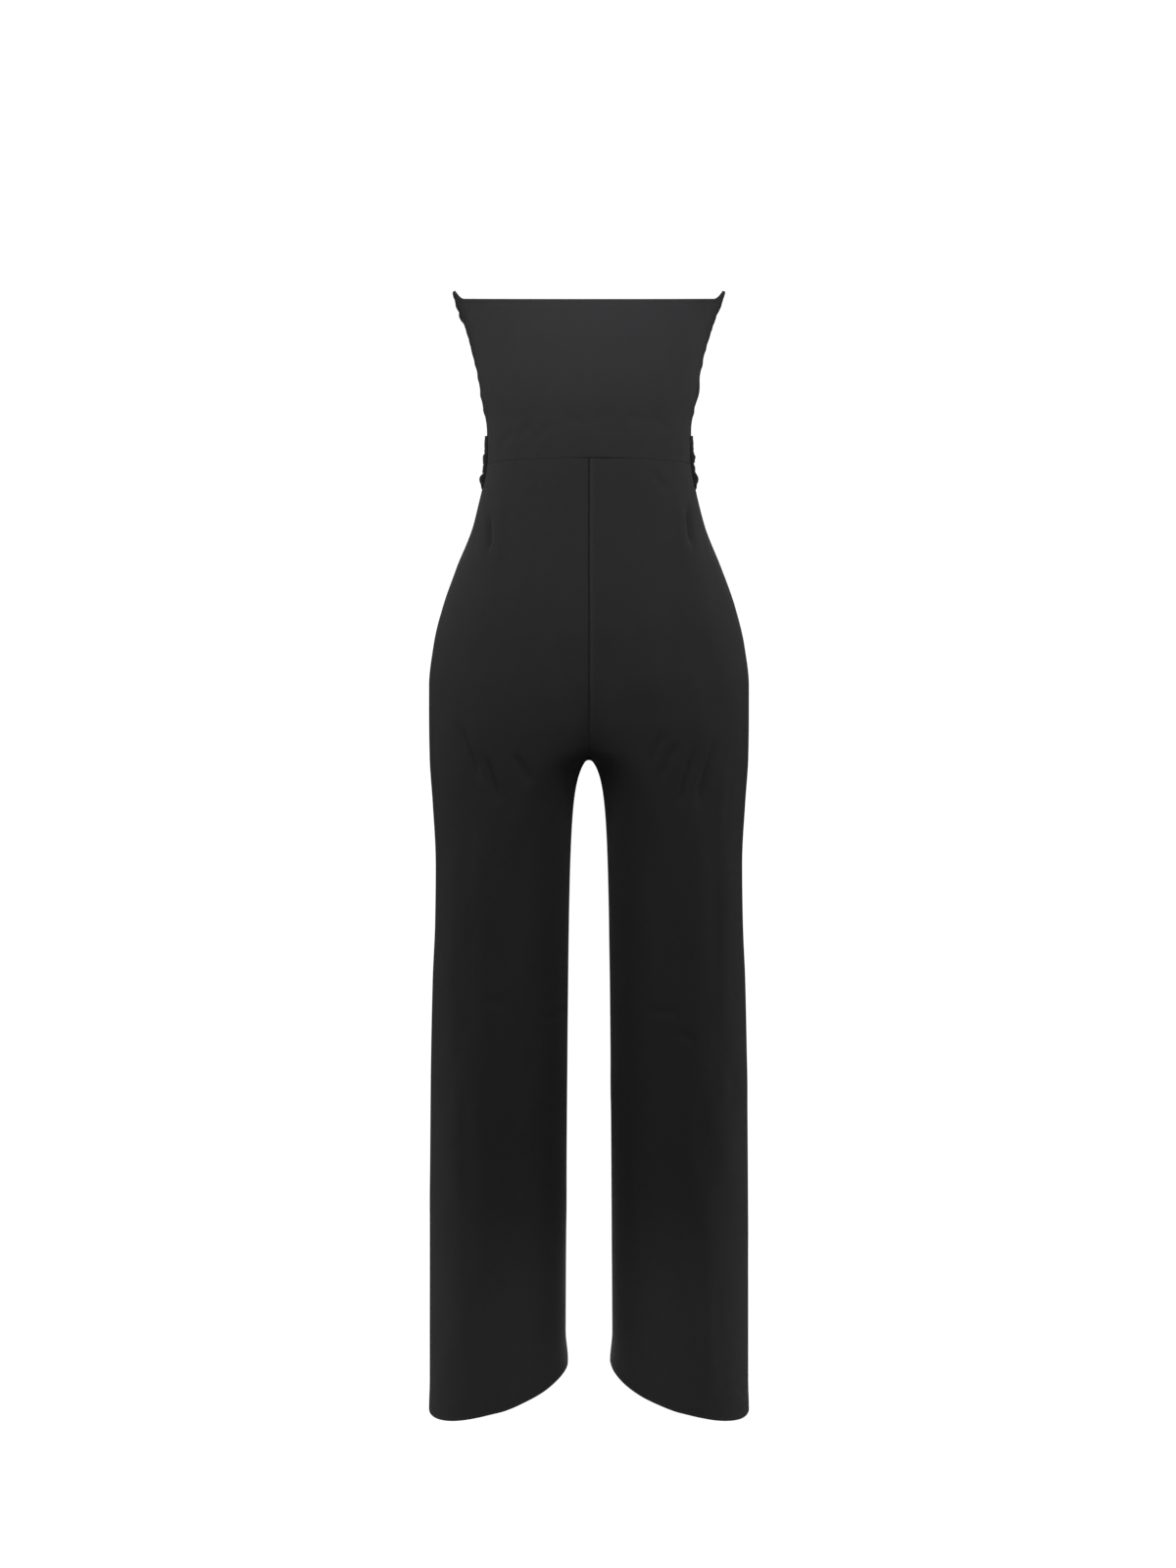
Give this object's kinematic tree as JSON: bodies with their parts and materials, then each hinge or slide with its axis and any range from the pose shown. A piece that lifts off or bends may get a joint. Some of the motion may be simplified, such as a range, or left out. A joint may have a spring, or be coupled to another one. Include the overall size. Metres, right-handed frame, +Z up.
{
  "type": "strapless jumpsuit",
  "caption": "Strapless wide-leg jumpsuit in heavy knit, hollow as worn, with a draped sash across the front waist.",
  "frame": {"origin": "middle of the wearer's waist, inside the garment at its narrowest height, where the wearer holds it up", "axes": "+Z up along the body to the strapless top edge, -Y towards the front, +X towards the wearer's left"},
  "size_m": [0.3618, 0.2503, 1.2723],
  "materials": {
    "black_knit": "matte heavy stretch knit"
  },
  "bodies": {
    "root": {"back_bodice": "black_knit", "front_bodice": "black_knit", "front_sash": "black_knit", "left_back_leg": "black_knit", "left_front_leg": "black_knit", "right_back_leg": "black_knit", "right_front_leg": "black_knit"}
  },
  "joints": []
}
